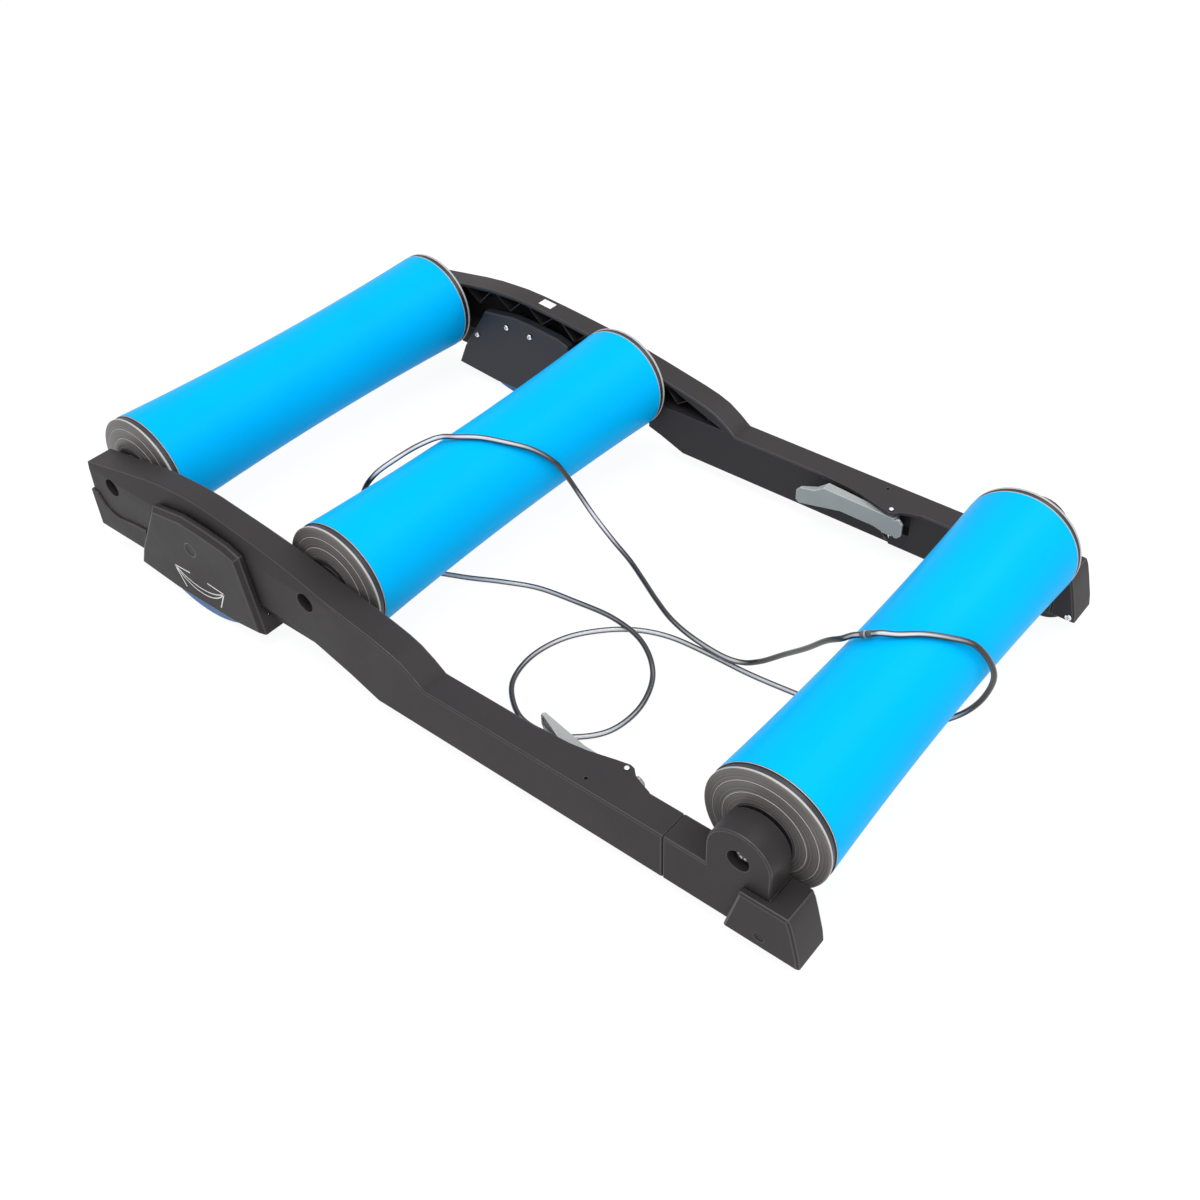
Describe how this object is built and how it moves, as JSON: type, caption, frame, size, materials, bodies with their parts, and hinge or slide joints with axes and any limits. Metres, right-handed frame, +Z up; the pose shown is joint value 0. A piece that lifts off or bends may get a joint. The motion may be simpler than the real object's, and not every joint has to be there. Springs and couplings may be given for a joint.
{
  "type": "bike rollers",
  "caption": "Indoor cycling trainer with conical rollers between two moulded side rails, a telescoping front section, swing rockers at the rear, small front wheels and a round drive belt.",
  "frame": {"origin": "on the floor, below the middle of the rollers pushed in to their short length", "axes": "+X towards the single front roller, +Y left as the rider sits, +Z up"},
  "size_m": [0.821, 0.49, 0.139],
  "materials": {
    "rail_plastic": "fine-grained moulded surface",
    "cover_plastic": "fine-grained moulded surface",
    "roller_blue": "smooth, slightly glossy",
    "cap_grey": "satin with fine turning lines",
    "rocker_blue": "moulded",
    "lever_grey": "moulded",
    "wheel_rubber": "matt",
    "steel": "zinc plated",
    "belt_cord": "glossy round cord"
  },
  "bodies": {
    "frame": {"drive_belt": "belt_cord", "rear_axle": "steel", "middle_axle": "steel", "left_rail": "rail_plastic", "left_outer_cover": "cover_plastic", "left_inner_cover": "cover_plastic", "left_cover_screw_1": "steel", "left_cover_screw_2": "steel", "left_cover_screw_3": "steel", "left_rocker_pin": "steel", "left_lever_pin": "steel", "rear_left_bolt": "steel", "middle_left_bolt": "steel", "right_rail": "rail_plastic", "right_outer_cover": "cover_plastic", "right_inner_cover": "cover_plastic", "right_cover_screw_1": "steel", "right_cover_screw_2": "steel", "right_cover_screw_3": "steel", "right_rocker_pin": "steel", "right_lever_pin": "steel", "rear_right_bolt": "steel", "middle_right_bolt": "steel"},
    "front_section": {"front_axle": "steel", "belt_sleeve": "belt_cord", "left_front_slide": "rail_plastic", "left_foot": "rail_plastic", "left_foot_screw": "steel", "left_wheel_pin": "steel", "front_left_bolt": "steel", "right_front_slide": "rail_plastic", "right_foot": "rail_plastic", "right_foot_screw": "steel", "right_wheel_pin": "steel", "front_right_bolt": "steel"},
    "rear_roller": {"rear_roller_tube": "roller_blue", "rear_left_cap": "cap_grey", "rear_left_bearing": "steel", "rear_right_cap": "cap_grey", "rear_right_bearing": "steel"},
    "middle_roller": {"middle_roller_tube": "roller_blue", "middle_left_cap": "cap_grey", "middle_left_bearing": "steel", "middle_right_cap": "cap_grey", "middle_right_bearing": "steel"},
    "front_roller": {"front_roller_tube": "roller_blue", "front_left_cap": "cap_grey", "front_left_bearing": "steel", "front_right_cap": "cap_grey", "front_right_bearing": "steel"},
    "left_wheel": {"left_wheel": "wheel_rubber"},
    "left_rocker": {"left_rocker": "rocker_blue"},
    "left_lever": {"left_lever": "lever_grey"},
    "right_wheel": {"right_wheel": "wheel_rubber"},
    "right_rocker": {"right_rocker": "rocker_blue"},
    "right_lever": {"right_lever": "lever_grey"}
  },
  "joints": [
    {"name": "front_extension", "type": "slide", "parent": "frame", "child": "front_section", "axis": [1, 0, 0], "range_m": [0, 0.54], "deforming": ["drive_belt"]},
    {"name": "rear_roller_spin", "type": "hinge", "parent": "frame", "child": "rear_roller", "pos_m": [-0.357, 0, 0.0835], "axis": [0, 1, 0], "continuous": true},
    {"name": "middle_roller_spin", "type": "hinge", "parent": "frame", "child": "middle_roller", "pos_m": [-0.09, 0, 0.0835], "axis": [0, 1, 0], "continuous": true},
    {"name": "front_roller_spin", "type": "hinge", "parent": "front_section", "child": "front_roller", "pos_m": [0.351, 0, 0.0835], "axis": [0, 1, 0], "continuous": true},
    {"name": "left_wheel_spin", "type": "hinge", "parent": "front_section", "child": "left_wheel", "pos_m": [0.3765, 0.225, 0.024], "axis": [0, 1, 0], "continuous": true},
    {"name": "right_wheel_spin", "type": "hinge", "parent": "front_section", "child": "right_wheel", "pos_m": [0.3765, -0.225, 0.024], "axis": [0, 1, 0], "continuous": true},
    {"name": "left_rocker_swing", "type": "hinge", "parent": "frame", "child": "left_rocker", "pos_m": [-0.234, 0.223, 0.076], "axis": [0, 1, 0], "range_deg": [-12, 12]},
    {"name": "right_rocker_swing", "type": "hinge", "parent": "frame", "child": "right_rocker", "pos_m": [-0.234, -0.223, 0.076], "axis": [0, 1, 0], "range_deg": [-12, 12]},
    {"name": "left_lever_swing", "type": "hinge", "parent": "frame", "child": "left_lever", "pos_m": [0.2256, 0.199, 0.041], "axis": [0, 0, 1], "range_deg": [0, 80]},
    {"name": "right_lever_swing", "type": "hinge", "parent": "frame", "child": "right_lever", "pos_m": [0.2256, -0.199, 0.041], "axis": [0, 0, -1], "range_deg": [0, 80]}
  ],
  "couplings": [
    {"joint": "front_roller_spin", "follows": "middle_roller_spin", "ratio": 1}
  ]
}
